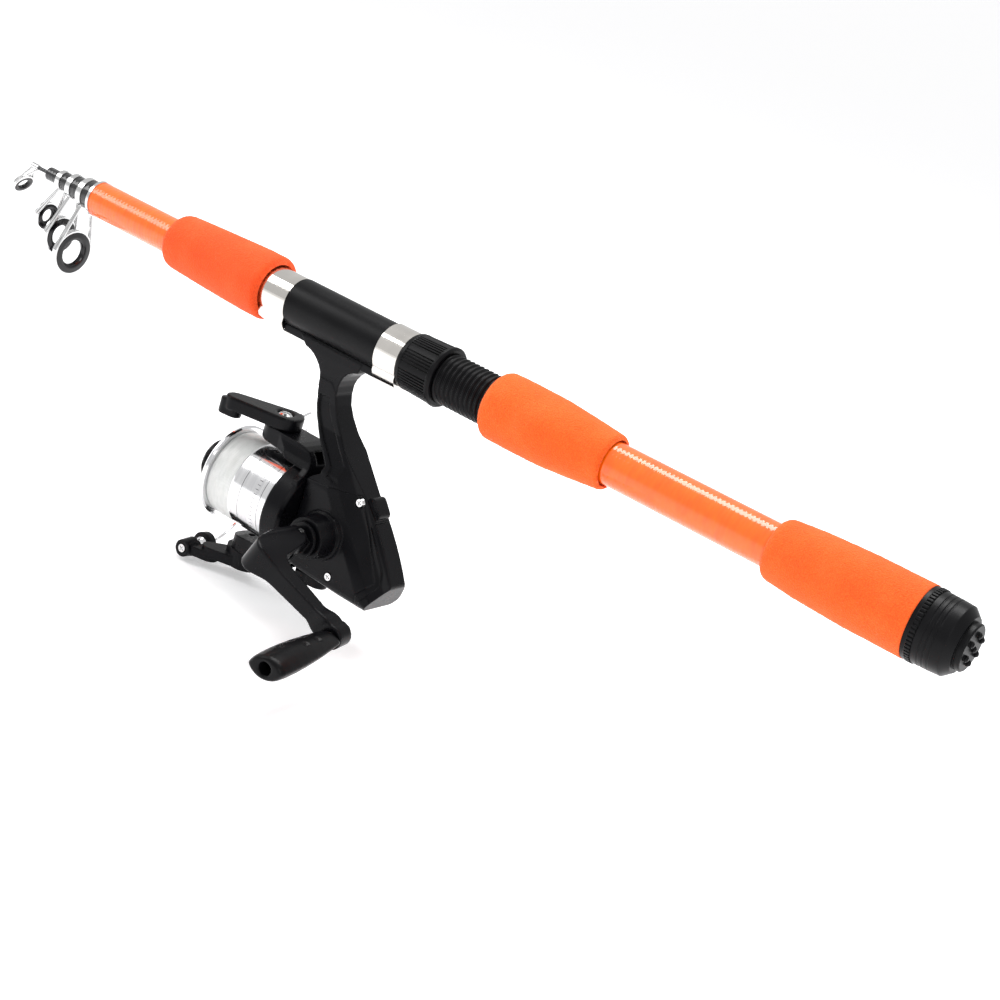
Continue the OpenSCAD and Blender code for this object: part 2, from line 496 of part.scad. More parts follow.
module oscillation_block() color("white") difference() {
  union() {
    translate([-block_u - 6.4, -2.2, sz - 4]) cube([6.4, 4.6, 7.4]);
    translate([-block_u - 6.4, -1.8, rod_at.y - 2.4]) cube([6.4, rod_at.x + 3.8, 7.4]);
  }
  rodwise(sz) translate([0, 0, block_u - 1]) cylinder(h = 9, r = 1.5 + fit, $fn = 32);
  rodwise(rod_at.y) translate([0, rod_at.x, block_u - 1]) cylinder(h = 9, r = 1 + run, $fn = 24);
}

// ---- rotor with its two arms
cup_r = cup_d / 2;
cup_len = 10;
pivot_u = rotor_u + 29.4;
arm_top = bail_r - 0.3;
module arm_side() polygon(concat([[rotor_u + 0.2, 14], [rotor_u + 0.6, cup_r]],
  curve([rotor_u + 1, cup_r + 1.6], [rotor_u + 2.4, arm_top - 3], [rotor_u + 5, arm_top], [rotor_u + 12,
    arm_top], 5),
  [[pivot_u + 7.6, arm_top], [pivot_u + 7.6, arm_top - 5.4], [pivot_u + 2, cup_r + 2.2], [rotor_u + 11,
  cup_r + 0.4],
   [rotor_u + 4, cup_r + 0.2], [rotor_u + 3, 14]]));
module rotor() color("black") difference() {
  union() {
    turned([[3.5 + fit, rotor_u], [cup_r + 0.2, rotor_u], [cup_r + 1.6, rotor_u + 1.4], [cup_r + 2.1,
      rotor_u + cup_len - 0.8],
      [cup_r + 1.6, rotor_u + cup_len], [cup_r, rotor_u + cup_len], [cup_r, rotor_u + 2.8],
      [7, rotor_u + 2.8], [6.6, rotor_u + 6.4], [3.5 + fit, rotor_u + 6.4]], sz);
    for (a = [0, 180]) translate([0, 0, sz]) rotate([a, 0, 0]) intersection() {
      rotate([90, 0, 0]) translate([0, 0, -17]) linear_extrude(34) mirror([1, 0]) arm_side();
      front_on(-pivot_u - 20, -rotor_u) polygon(concat([[-17, 10]], curve([-17, 18], [-11, 21], [-8.4,
        26], [-7.8, bail_r + 1], 5),
        curve([7.8, bail_r + 1], [8.4, 26], [11, 21], [17, 18], 5), [[17, 10]]));
      linear_extrude(60) union() {
        translate([-pivot_u, 0]) circle(7.8);
        polygon(concat([[-pivot_u, -7.8], [-pivot_u, 7.8]], curve([-pivot_u + 6, 8], [-rotor_u - 14, 9],
          [-rotor_u - 12, 16],
          [-rotor_u - 4, 20], 5), [[-rotor_u, 20], [-rotor_u, -20]],
          curve([-rotor_u - 4, -20], [-rotor_u - 12, -16], [-rotor_u - 14, -9], [-pivot_u + 6, -8], 5)));
      }
    }
  }
  rodwise(sz) translate([0, 0, rotor_u + 2.8]) cylinder(h = 60, r = cup_r);
  for (a = [0, 180]) translate([0, 0, sz]) rotate([a, 0, 0]) {
    translate([-pivot_u, 0, 20]) cylinder(h = 30, r = 1.5 + fit, $fn = 32);
    // hollow that opens to the back of each arm
    translate([-pivot_u + 8, -5, cup_r + 2.4]) cube([30, 10, arm_top - cup_r - 4.2]);
  }
}
module rotor_nut() color("silver") difference() {
  rodwise(sz) translate([0, 0, rotor_u + 6.4 + fit]) linear_extrude(3.2) polygon([for (i = [0:5])
    5.2 * [cos(60 * i), sin(60 * i)]]);
  rodwise(sz) translate([0, 0, rotor_u]) cylinder(h = 40, r = 3 + fit);
}

// ---- spool and drag
lip_r = lip_d / 2;
skirt_r = skirt_d / 2;
line_r = lip_r - 2.4;
skirt_u = rotor_u + 6.2;
washer_u = line_u[0] + 8.2;
module spool() color("silver") {
  turned([[1.5 + run, line_u[0] - 0.8], [5, line_u[0] - 0.8], [5, line_u[0] + 3.2], [12,
    line_u[0] + 3.2], [12, line_u[0] - 2.2],
    [skirt_r - 1.4, line_u[0] - 2.2], [skirt_r - 1.4, skirt_u], [skirt_r - 0.1, skirt_u], [skirt_r,
    skirt_u + 0.6],
    [skirt_r, line_u[0] - 1], [skirt_r - 0.3, line_u[0] - 0.2],
    [14, line_u[0] - 0.2], [14, line_u[1] + 0.2], [lip_r - 0.7, line_u[1] + 0.2], [lip_r, line_u[1] + 0.9],
    [lip_r, line_u[1] + 1.7], [lip_r - 1.6, spool_front], [12.4, spool_front], [12.2, washer_u],
    [1.5 + run, washer_u]], sz);
}
module wound_line() color("ivory") turned(concat([[14 + fit, line_u[0] - 0.1], [line_r - 1,
  line_u[0] - 0.1]],
  [for (i = [0:6]) [line_r - 0.25 + 0.35 * sin(180 * i / 6),
  line_u[0] + 0.3 + i * (line_u[1] - line_u[0] - 0.6) / 6]],
  [[line_r - 1, line_u[1] + 0.1], [14 + fit, line_u[1] + 0.1]]), sz);
module drag_washers() color("tan") for (i = [0:2]) rodwise(sz) translate([0, 0,
  washer_u + 0.1 + i * 1.5]) difference() {
  cylinder(h = 1.3, r = 11.6 - 0.4 * (i % 2));
  translate([0, 0, -1]) cylinder(h = 4, r = 1.5 + run, $fn = 32);
}
drag_u = washer_u + 4.8;
module drag_knob() color("black") difference() {
  turned([[1.5 + run, drag_u], [11, drag_u], [11.4, drag_u + 4.2], [11.4, drag_u + 12.7], [10.2,
    drag_u + 14.2],
    [6, drag_u + 14.8], [1.5 + run, drag_u + 14.8]], sz);
  for (i = [0:11]) rodwise(sz) rotate(i * 30) translate([11.7, 0, drag_u + 4.6]) cylinder(h = 9, r = 1.1,
    $fn = 20);
}

// ---- bail
lever_r0 = bail_r - 0.1;
roller_at = [-pivot_u - 23.6, sz - bail_r - 8.4];
// the wire lies in a plane that starts at the roller, leans forward and reaches outward
bail_tilt = 109;
bail_lean = 19.2;
bail_reach = 28;
bail_bend = 22;
wire_start = [roller_at.x, 2.9, roller_at.y];
wire_top = (lever_r0 + 3 + sz - roller_at.y) / cos(bail_lean);
module wire_frame() translate(wire_start) rotate([bail_lean, 0, bail_tilt]) children();
module wire_run(p0, p1, q, r) wire_frame() translate([p0, 0, q]) rotate([0, 90, 0]) cylinder(h = p1 - p0,
  r = r, $fn = 24);
module bail_lever() color("black") difference() {
  union() {
    lever_body();
    difference() {
      wire_run(-9, -1, wire_top, 2.2);
      lever_holes();
    }
  }
  wire_run(-6, 20, wire_top, 0.8 + fit);
}
module lever_body() translate([-pivot_u, 0, sz]) difference() {
  union() {
    translate([0, 0, lever_r0]) linear_extrude(6) slug([1, 0], 8, [-21, -9.6], 5);
    translate([0, 0, lever_r0 - 3.6]) linear_extrude(7.6) slug([-20.4, -10], 3.4, [-24.6, -11], 3.4);
  }
  translate([pivot_u, 0, -sz]) lever_holes();
  // top falls away toward the tip
  translate([-32, -30, lever_r0 + 6]) rotate([0, -16, 0]) translate([-20, 0, 0]) cube([40, 60, 12]);
}
module lever_holes() translate([-pivot_u, 0, sz]) {
  translate([0, 0, 20]) cylinder(h = 40, r = 1.5 + run, $fn = 32);
  translate([0, 0, lever_r0 + 4]) cylinder(h = 40, r = 3.8, $fn = 40);
}
module line_arm() color("black") difference() {
  union() {
    translate([-pivot_u, 0, sz - lever_r0 - 8.4]) linear_extrude(8.4) slug([0, 0], 7.4, [-3, 0], 7.4);
    translate([-pivot_u, 0, sz - lever_r0 - 8.4]) linear_extrude(4.6) slug([-3, 0], 7.4, [-14, -8.5], 4.2);
    translate([-pivot_u, 0, sz - lever_r0 - 10.4]) linear_extrude(4.4) slug([-14, -8.5], 4.2, [-21.4,
      -12], 3.4);
    translate([roller_at.x, -10, roller_at.y]) rotate([90, 0, 0]) cylinder(h = 7, r1 = 4.6, r2 = 4,
      $fn = 40);
  }
  translate([-pivot_u, 0, sz - 60]) cylinder(h = 40, r = 1.5 + run, $fn = 32);
  translate([-pivot_u, 0, sz - lever_r0 - 44]) cylinder(h = 40, r = 3.8, $fn = 40);
  translate([roller_at.x, 0, roller_at.y]) rotate([90, 0, 0]) cylinder(h = 30, r = 1.1 + fit, $fn = 24);
  translate([roller_at.x, -16, roller_at.y]) rotate([90, 0, 0]) cylinder(h = 3, r = 2.4, $fn = 32);
  translate([roller_at.x, -9.95, roller_at.y]) rotate([-90, 0, 0]) cylinder(h = 12, r = 6.4);
}
module line_roller() color("silver") translate([roller_at.x, -9.8, roller_at.y]) rotate([-90, 0, 0])
  rotate_extrude()
  polygon([[1.1 + run, 0], [3.6, 0], [3.6, 0.6], [2.6, 1.8], [2.4, 3], [2.6, 4.2], [3.6, 5.4], [3.6, 6],
    [1.1 + run, 6]]);
module roller_cone() color("black") translate([roller_at.x, -3.7, roller_at.y]) rotate([-90, 0, 0])
  difference() {
  union() { cylinder(h = 3.6, r1 = 5.8, r2 = 5.6); translate([0, 0, 3.6]) cylinder(h = 2.4, r1 = 5.6,
    r2 = 3.2); }
  translate([0, 0, -1]) cylinder(h = 5, r = 1.1 + fit, $fn = 24);
}
module roller_screw() color("silver") difference() {
  union() {
    translate([roller_at.x, -16.1, roller_at.y]) rotate([-90, 0, 0]) cylinder(h = 15.8, r = 1.1, $fn = 24);
    translate([roller_at.x, -16 - fit, roller_at.y]) rotate([90, 0, 0]) cylinder(h = 1.3, r1 = 2.3,
      r2 = 1.9, $fn = 32);
  }
  for (a = [0, 90]) translate([roller_at.x, -17.6, roller_at.y]) rotate([0, a + 30, 0]) cube([2.8, 1.6,
    0.5], center = true);
}
module bail_wire() color("silver") {
  wire_run(-5.7, bail_reach - bail_bend, wire_top, 0.8);
  wire_frame() {
    for (k = [0, 1]) translate([bail_reach - bail_bend, 0, k == 0 ? wire_top - bail_bend : bail_bend])
      rotate([90, k * 90, 0]) rotate_extrude(angle = 90) translate([bail_bend, 0]) circle(0.8, $fn = 20);
    translate([bail_reach, 0, bail_bend]) cylinder(h = wire_top - 2 * bail_bend, r = 0.8, $fn = 24);
  }
  wire_run(0, bail_reach - bail_bend, 0, 0.8);
}
module bail_screws() color("silver") for (a = [0, 180]) translate([-pivot_u, 0, sz]) rotate([a, 0, 0])
  difference() {
  union() {
    translate([0, 0, bail_r - 5]) cylinder(h = 9.2, r = 1.5, $fn = 32);
    translate([0, 0, lever_r0 + 4.1]) cylinder(h = 1, r = 3.5, $fn = 40);
    translate([0, 0, lever_r0 + 5.1]) cylinder(h = 0.9, r1 = 3.5, r2 = 2.2, $fn = 40);
  }
  for (b = [0, 90]) translate([0, 0, lever_r0 + 5.9]) rotate(b + 25) cube([4.2, 0.8, 1.2], center = true);
}

// ---- anti-reverse lever under the housing
lever_y = 0;
lever_z = sz - 16.6;
lever_x = face_x + 5.6;
module lever_slot() {
  translate([face_x - 1, lever_y, lever_z]) rotate([0, 90, 0]) cylinder(h = 12, r = 1.2 + run, $fn = 24);
  translate([lever_x - 1.6, lever_y, lever_z]) rotate([0, 90, 0]) linear_extrude(5.4)
    polygon([[-2.6, -2.6], [-2.6, 2.6], [10, 8], [10, -8]]);
}
module anti_reverse_lever() color("black") union() {
  translate([lever_x - 2.4, lever_y, lever_z]) rotate([0, 90, 0]) cylinder(h = 7, r = 1.2, $fn = 24);
  translate([lever_x - 0.8, -1.5, lever_z - 8]) cube([3.6, 3, 8.6]);
  translate([lever_x, 0, lever_z - 12.4]) difference() {
    linear_extrude(4.6) slug([-1.8, -1], 4, [5.7, 1], 4.4);
    translate([2, -6.6, -1]) cylinder(h = 8, r = 2.6, $fn = 32);
  }
}

// ---- handle
hub_y = boss_y - 0.3;    // back of the hub
fold_y = hub_y - 6.9;
tongue_r = 4.6;
module handle_shank() color("black") translate([cx, 0, sz]) difference() {
  union() {
    rotate([90, 0, 0]) translate([0, 0, 12.4]) cylinder(h = -hub_y - 12, r = shank_r);
    rotate([90, 0, 0]) translate([0, 0, -hub_y]) cylinder(h = 0.8, r1 = 7.2, r2 = 7.8);
    rotate([90, 0, 0]) translate([0, 0, -hub_y + 0.8]) cylinder(h = 1.7, r = 7.8);
    rotate([0, crank_angle, 0]) intersection() {
      translate([-7.6, fold_y - 5, -3.4]) cube([15.2, 12, 6.8]);
      union() {
        translate([-tongue_r, fold_y, -10]) cube([2 * tongue_r, 5, 20]);
        translate([0, fold_y, 0]) cylinder(h = 6.8, r = tongue_r, center = true);
      }
    }
  }
  rotate([0, crank_angle, 0]) translate([0, fold_y, 0]) cylinder(h = 30, r = 1.3 + fit, center = true,
    $fn = 32);
}
module fold_pin() color("silver") translate([cx, fold_y, sz]) rotate([0, crank_angle, 0])
  cylinder(h = 13.6, r = 1.3, center = true, $fn = 32);
// the arm in its own plane: a leg away from the hub, an elbow and a leg to the knob
elbow = [5, fold_y - 23];
knob_y = -51;            // start of the knob
knob_lean = 7.5;         // the knob stands square to the second leg
module arm_frame() translate([cx, 0, sz]) rotate([0, crank_angle, 0]) children();
module knob_frame() arm_frame() translate([crank_len, knob_y, 0]) rotate([0, 0, knob_lean]) children();
module arm_plane() difference() {
  union() {
    slug([0, fold_y - 5], 6.6, elbow, 6.8);
    slug(elbow, 6.8, [crank_len, knob_y + 5.2], 3.8);
  }
  // clears the hub when the arm is folded
  translate([-20, fold_y - 8.3]) square([20.4 - tongue_r, 20]);
}
boss_len = 9;            // knob boss at the end of the arm
module handle_arm() color("black") difference() {
  union() {
    arm_frame() intersection() {
      translate([0, 0, -7]) linear_extrude(14) arm_plane();
      rotate([90, 0, 0]) linear_extrude(80) {
        slug([0, 0], 7, [16, 0], 6);
        slug([16, 0], 6, [crank_len, 0], 4.6);
      }
    }
    knob_frame() translate([0, boss_len, 0]) rotate([90, 0, 0]) cylinder(h = boss_len - 0.4, r = 5.4);
  }
  arm_frame() {
    // fork over the hub tongue
    translate([-10, fold_y - 6.6, -3.5]) cube([20, 16, 7]);
    translate([0, fold_y, 0]) cylinder(h = 30, r = 1.3 + run, center = true, $fn = 32);
    rotate([90, 0, 0]) cylinder(h = -fold_y - 1.6, r = 9);
  }
  knob_frame() rotate([90, 0, 0]) cylinder(h = 40, r = 2 + fit, center = true, $fn = 32);
}
knob_len = 45;
knob_roll = -31.4;
module knob_spindle() color("silver") knob_frame() translate([0, boss_len, 0]) rotate([90, 0, 0])
  cylinder(h = 36, r = 2, $fn = 32);
module knob_lens(o, k) translate([0, 0, o]) rotate([90, 0, 0]) rotate_extrude() polygon(concat([[0, 0],
  [k - 3, 0]],
  curve([k - 2.6, 1], [k - 1, knob_len * 0.3], [k + 0.2, knob_len * 0.6], [k - 0.2, knob_len - 6], 6),
  [[k - 0.5, knob_len - 2], [k - 1, knob_len - 0.7], [k - 1.6, knob_len], [0, knob_len]]));
module handle_knob() color("black") knob_frame() rotate([0, knob_roll, 0]) difference() {
  intersection() {
    knob_lens(4.5, 10.4);
    knob_lens(-4.5, 10.4);
    knob_lens(0, 9.6);
  }
  rotate([90, 0, 0]) cylinder(h = 29, r = 2 + run, $fn = 32);
  translate([0, -knob_len + 10, 0]) rotate([90, 0, 0]) cylinder(h = 12, r = 2.9, $fn = 40);
  for (p = [[-3, 14], [2.6, 12], [-3.4, 23], [3, 21], [-2, 32]]) translate([p.x, -p.y, 6.6]) sphere(1.2,
    $fn = 20);
}

blank();
blank_ring();
section_5();
section_4();
section_3();
section_2();
tip_section();
guide_5_frame();
guide_5_ring();
guide_4_frame();
guide_4_ring();
guide_3_frame();
guide_3_ring();
tip_top_frame();
tip_top_ring();
front_grip();
middle_grip();
rear_grip();
cap_ring();
butt_cap();
reel_seat();
front_hood();
rear_hood();
lock_nut();
reel_frame();
side_cover();
tail_cover();
cover_screws();
main_bearing();
gear_bushing();
guide_rod();
pinion();
drive_gear();
main_shaft();
oscillation_block();
rotor();
rotor_nut();
spool();
wound_line();
drag_washers();
drag_knob();
bail_lever();
line_arm();
bail_wire();
line_roller();
roller_cone();
roller_screw();
bail_screws();
anti_reverse_lever();
handle_shank();
handle_arm();
fold_pin();
handle_knob();
knob_spindle();
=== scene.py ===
import math

import bmesh
import bpy
from mathutils import Matrix, Vector, noise


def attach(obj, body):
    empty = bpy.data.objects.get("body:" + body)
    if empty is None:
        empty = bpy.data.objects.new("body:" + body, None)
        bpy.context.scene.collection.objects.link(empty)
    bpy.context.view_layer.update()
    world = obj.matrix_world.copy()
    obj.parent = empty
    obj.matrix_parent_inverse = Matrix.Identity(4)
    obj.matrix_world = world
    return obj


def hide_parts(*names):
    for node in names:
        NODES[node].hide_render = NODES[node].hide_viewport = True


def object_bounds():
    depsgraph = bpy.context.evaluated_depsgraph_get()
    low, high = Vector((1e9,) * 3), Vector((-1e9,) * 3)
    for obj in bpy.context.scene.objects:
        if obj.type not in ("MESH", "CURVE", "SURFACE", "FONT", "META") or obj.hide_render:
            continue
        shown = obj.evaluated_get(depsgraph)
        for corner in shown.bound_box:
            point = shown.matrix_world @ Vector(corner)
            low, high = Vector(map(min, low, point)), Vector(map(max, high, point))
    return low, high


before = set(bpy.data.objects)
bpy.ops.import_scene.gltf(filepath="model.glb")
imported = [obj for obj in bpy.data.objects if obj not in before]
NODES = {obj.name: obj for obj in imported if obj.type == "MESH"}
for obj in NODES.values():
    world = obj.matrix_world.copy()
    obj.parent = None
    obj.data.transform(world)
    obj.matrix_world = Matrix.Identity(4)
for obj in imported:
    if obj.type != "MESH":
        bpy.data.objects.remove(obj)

cad_box = [list(corner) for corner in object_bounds()]

# ---- camera, at the photograph's viewing angle
RIGHT = Vector((0.7711, 0.5662, 0.2913))
DOWN = Vector((0.4209, -0.1099, -0.9004))
FORWARD = Vector((-0.4778, 0.8169, -0.3230))
EYE = Vector((0.19583, -0.64822, 0.21969))


def add_camera():
    """The camera looks down onto the reel's crank side from behind the butt."""
    data = bpy.data.cameras.new("camera")
    data.sensor_width = 36
    data.lens = 69.12
    data.clip_start = 0.01
    data.clip_end = 200
    camera = bpy.data.objects.new("camera", data)
    turn = Matrix((RIGHT, -DOWN, -FORWARD)).transposed().to_4x4()
    camera.matrix_world = Matrix.Translation(EYE) @ turn
    bpy.context.scene.collection.objects.link(camera)
    bpy.context.scene.camera = camera


add_camera()
bpy.context.scene.view_settings.view_transform = "Standard"


# ---- light and floor
def area_light(name, place, target, size, power, colour=(1, 1, 1)):
    """A soft rectangular studio light at place, turned toward target."""
    data = bpy.data.lights.new(name, "AREA")
    data.shape = "RECTANGLE"
    data.size, data.size_y = size
    data.energy = power
    data.color = colour
    light = bpy.data.objects.new(name, data)
    aim = Vector(target) - Vector(place)
    light.matrix_world = Matrix.Translation(place) @ aim.to_track_quat("-Z", "Y").to_matrix().to_4x4()
    bpy.context.scene.collection.objects.link(light)


def add_world(colour, strength):
    """An even pale surround."""
    world = bpy.data.worlds.new("studio")
    world.use_nodes = True
    background = world.node_tree.nodes["Background"]
    background.inputs["Color"].default_value = (*colour, 1)
    background.inputs["Strength"].default_value = strength
    bpy.context.scene.world = world


# ---- material helpers
class Shader:
    """A Principled material with a few short calls to build its nodes."""

    def __init__(self, name, colour, roughness, metallic=0.0, coat=0.0, coat_roughness=0.05, specular=0.5):
        self.material = bpy.data.materials.new(name)
        self.material.use_nodes = True
        self.nodes = self.material.node_tree.nodes
        self.links = self.material.node_tree.links
        self.surface = self.nodes["Principled BSDF"]
        self.surface.inputs["Base Color"].default_value = (*colour, 1)
        self.surface.inputs["Roughness"].default_value = roughness
        self.surface.inputs["Metallic"].default_value = metallic
        self.surface.inputs["Coat Weight"].default_value = coat
        self.surface.inputs["Coat Roughness"].default_value = coat_roughness
        self.surface.inputs["Specular IOR Level"].default_value = specular
        self.place = self.add("ShaderNodeTexCoord").outputs["Object"]
        self.height = None

    def soft_edges(self, radius):
        """Rounds the shading of sharp edges by that radius in metres."""
        node = self.add("ShaderNodeBevel", samples=6)
        node.inputs["Radius"].default_value = radius
        self.height = node.outputs["Normal"]
        self.links.new(self.height, self.surface.inputs["Normal"])
        self.links.new(self.height, self.surface.inputs["Coat Normal"])

    def add(self, kind, **values):
        node = self.nodes.new(kind)
        for name, value in values.items():
            setattr(node, name, value)
        return node

    def noise(self, scale, detail=2.0, roughness=0.5, stretch=(1, 1, 1)):
        """A noise pattern's value, scale in features per metre."""
        mapping = self.add("ShaderNodeMapping")
        mapping.inputs["Scale"].default_value = stretch
        self.links.new(self.place, mapping.inputs["Vector"])
        node = self.add("ShaderNodeTexNoise")
        node.inputs["Scale"].default_value = scale
        node.inputs["Detail"].default_value = detail
        node.inputs["Roughness"].default_value = roughness
        self.links.new(mapping.outputs["Vector"], node.inputs["Vector"])
        return node.outputs["Fac"]

    def cells(self, scale, smooth=0.2):
        """Rounded cells, like pores."""
        node = self.add("ShaderNodeTexVoronoi", feature="SMOOTH_F1")
        node.inputs["Scale"].default_value = scale
        node.inputs["Smoothness"].default_value = smooth
        self.links.new(self.place, node.inputs["Vector"])
        return node.outputs["Distance"]

    def waves(self, scale, distortion=0.0, axis="X"):
        """Evenly spaced bands along an axis."""
        node = self.add("ShaderNodeTexWave", bands_direction=axis)
        node.inputs["Scale"].default_value = scale
        node.inputs["Distortion"].default_value = distortion
        node.inputs["Detail"].default_value = 1.0
        self.links.new(self.place, node.inputs["Vector"])
        return node.outputs["Fac"]

    def ramp(self, value, stops):
        """Colours or greys placed along a 0 to 1 value."""
        node = self.add("ShaderNodeValToRGB")
        elements = node.color_ramp.elements
        while len(elements) < len(stops):
            elements.new(0.5)
        for element, (at, colour) in zip(elements, stops):
            element.position = at
            element.color = (*colour, 1) if len(colour) == 3 else colour
        self.links.new(value, node.inputs["Fac"])
        return node.outputs["Color"]

    def mix(self, factor, first, second, blend="MIX"):
        node = self.add("ShaderNodeMix", data_type="RGBA", blend_type=blend)
        for index, value in ((0, factor), (6, first), (7, second)):
            if isinstance(value, (int, float)):
                node.inputs[index].default_value = value
            elif isinstance(value, tuple):
                node.inputs[index].default_value = (*value, 1)
            else:
                self.links.new(value, node.inputs[index])
        return node.outputs[2]

    def math(self, operation, *values):
        """One arithmetic step on sockets and numbers."""
        node = self.add("ShaderNodeMath", operation=operation)
        for slot, value in zip(node.inputs, values):
            if isinstance(value, (int, float)):
                slot.default_value = value
            else:
                self.links.new(value, slot)
        return node.outputs[0]

    def axes(self):
        """The object's own x, y and z in metres."""
        node = self.add("ShaderNodeSeparateXYZ")
        self.links.new(self.place, node.inputs[0])
        return node.outputs[:3]

    def colour(self, socket):
        self.links.new(socket, self.surface.inputs["Base Color"])

    def roughness(self, socket, low, high):
        node = self.add("ShaderNodeMapRange")
        node.inputs["To Min"].default_value = low
        node.inputs["To Max"].default_value = high
        self.links.new(socket, node.inputs["Value"])
        self.links.new(node.outputs["Result"], self.surface.inputs["Roughness"])

    def bump(self, socket, distance, strength=1.0, coat=False):
        """Adds relief of that depth in metres on top of what is there."""
        node = self.add("ShaderNodeBump")
        node.inputs["Distance"].default_value = distance
        node.inputs["Strength"].default_value = strength
        self.links.new(socket, node.inputs["Height"])
        if self.height is not None:
            self.links.new(self.height, node.inputs["Normal"])
        self.height = node.outputs["Normal"]
        self.links.new(self.height, self.surface.inputs["Normal"])
        if coat:
            self.links.new(self.height, self.surface.inputs["Coat Normal"])


def foam_material(name, tone):
    """Closed-cell foam: fine pores with painted shade in their hollows, a cloudy tone and a powdery edge."""
    s = Shader(name, tone, 0.85, specular=0.25)
    cloud = s.noise(60, detail=4)
    pores = s.cells(1500, smooth=0.4)
    grain = s.noise(2600, detail=3, roughness=0.7)
    light = tuple(min(1, c * 1.1 + 0.006) for c in tone)
    dark = tuple(c * 0.93 for c in tone)
    tint = s.ramp(cloud, [(0.35, dark), (0.5, tone), (0.68, light)])
    specks = s.ramp(grain, [(0.34, (0.72, 0.6, 0.6)), (0.5, (1, 1, 1)), (0.68, (1, 1.35, 1.6))])
    # painted shade: the colour is darker at the pore centres, where the pore relief is deepest
    pore_shade = s.ramp(pores, [(0.04, (0.8, 0.7, 0.7)), (0.3, (1, 1, 1))])
    s.colour(s.mix(0.6, s.mix(0.85, tint, specks, blend="MULTIPLY"), pore_shade, blend="MULTIPLY"))
    s.bump(pores, 0.00035, 0.8)
    s.bump(grain, 0.00028, 0.9)
    s.surface.inputs["Sheen Weight"].default_value = 0.22
    s.surface.inputs["Sheen Roughness"].default_value = 0.5
    s.surface.inputs["Sheen Tint"].default_value = (1.0, 0.6, 0.35, 1)
    return s.material


def blank_material(name, base, deep):
    """Clear-coated wound blank: tape ripples under a gloss coat."""
    s = Shader(name, base, 0.5, coat=1.0, coat_roughness=0.05, specular=0.2)
    ripple = s.waves(160, distortion=0.8)
    mottle = s.noise(320, detail=3, stretch=(1, 0.4, 0.4))
    s.colour(s.ramp(mottle, [(0.3, deep), (0.6, base)]))
    s.bump(ripple, 0.00008, 0.6, coat=True)
    s.bump(mottle, 0.00003, 0.5, coat=True)
    return s.material


def plastic_material(name, base, roughness, grain_depth=0.00003, edge=0.0, specular=0.12):
    """Moulded plastic: fine spark-eroded grain, soft edges and slight gloss changes."""
    s = Shader(name, base, roughness, coat_roughness=0.2, specular=specular)
    if edge:
        s.soft_edges(edge)
    grain = s.noise(3000, detail=2)
    handling = s.noise(70, detail=4)
    s.roughness(handling, roughness - 0.07, roughness + 0.09)
    light = tuple(c * 1.4 + 0.0006 for c in base)
    s.colour(s.ramp(handling, [(0.35, base), (0.75, light)]))
    s.bump(grain, grain_depth, 0.5)
    return s.material


def metal_material(name, base, roughness, brush=(1, 1, 1), depth=0.00001):
    """Bright metal: a faint brushed or polished texture."""
    s = Shader(name, base, roughness, metallic=1.0)
    lines = s.noise(900, detail=3, stretch=brush)
    s.roughness(lines, roughness * 0.7, roughness * 1.4)
    tarnish = s.noise(50, detail=3)
    dull = tuple(c * 0.86 for c in base)
    s.colour(s.ramp(tarnish, [(0.35, dull), (0.6, base)]))
    s.bump(lines, depth, 0.3)
    return s.material


def spool_material(name, axis_z, bands, ticks):
    """Metallised plastic with thin printed bands and plain tick marks round the skirt."""
    s = Shader(name, (0.82, 0.82, 0.83), 0.12, metallic=1.0)
    x, y, z = s.axes()
    print_mask = s.math("COMPARE", x, bands[0], 0.00013)
    for band in bands[1:]:
        print_mask = s.math("MAXIMUM", print_mask, s.math("COMPARE", x, band, 0.00013))
    angle = s.math("ARCTAN2", y, s.math("SUBTRACT", z, axis_z))
    turn = s.math("FRACT", s.math("MULTIPLY", angle, 60 / (2 * math.pi)))
    mark = s.math("MULTIPLY", s.math("LESS_THAN", turn, 0.11), s.math("COMPARE", x, ticks, 0.0009))
    print_mask = s.math("MAXIMUM", print_mask, mark)
    spun = s.noise(700, detail=2, stretch=(1, 0.05, 0.05))
    bright = s.ramp(spun, [(0.3, (0.74, 0.74, 0.76)), (0.65, (0.86, 0.86, 0.87))])
    s.colour(s.mix(print_mask, bright, (0.02, 0.02, 0.022)))
    s.links.new(s.math("SUBTRACT", 1.0, print_mask), s.surface.inputs["Metallic"])
    s.roughness(spun, 0.08, 0.18)
    s.bump(spun, 0.00001, 0.3)
    return s.material


def line_material(name):
    """Wound clear line: fine turns side by side, with painted shade in the grooves between them."""
    s = Shader(name, (0.80, 0.81, 0.77), 0.3, coat=0.3)
    turns = s.waves(520, distortion=0.5)
    laps = s.noise(160, detail=3, stretch=(3, 1, 1))
    # painted shade: darker in the grooves between the turns, lighter on their crests
    groove_shade = s.ramp(turns, [(0.0, (0.68, 0.70, 0.68)), (0.35, (0.88, 0.89, 0.87)), (1.0, (0.95, 0.96, 0.95))])
    s.colour(s.mix(0.4, groove_shade, s.ramp(laps, [(0.3, (0.7, 0.72, 0.7)), (0.6, (1, 1, 1))]), blend="MULTIPLY"))
    s.bump(turns, 0.0003, 0.9)
    return s.material


def felt_material(name):
    """Pressed felt of the drag washers."""
    s = Shader(name, (0.6, 0.5, 0.36), 0.95, specular=0.2)
    fibres = s.noise(2500, detail=4, roughness=0.8)
    s.colour(s.ramp(fibres, [(0.3, (0.42, 0.33, 0.22)), (0.7, (0.72, 0.62, 0.46))]))
    s.bump(fibres, 0.0002, 0.8)
    return s.material


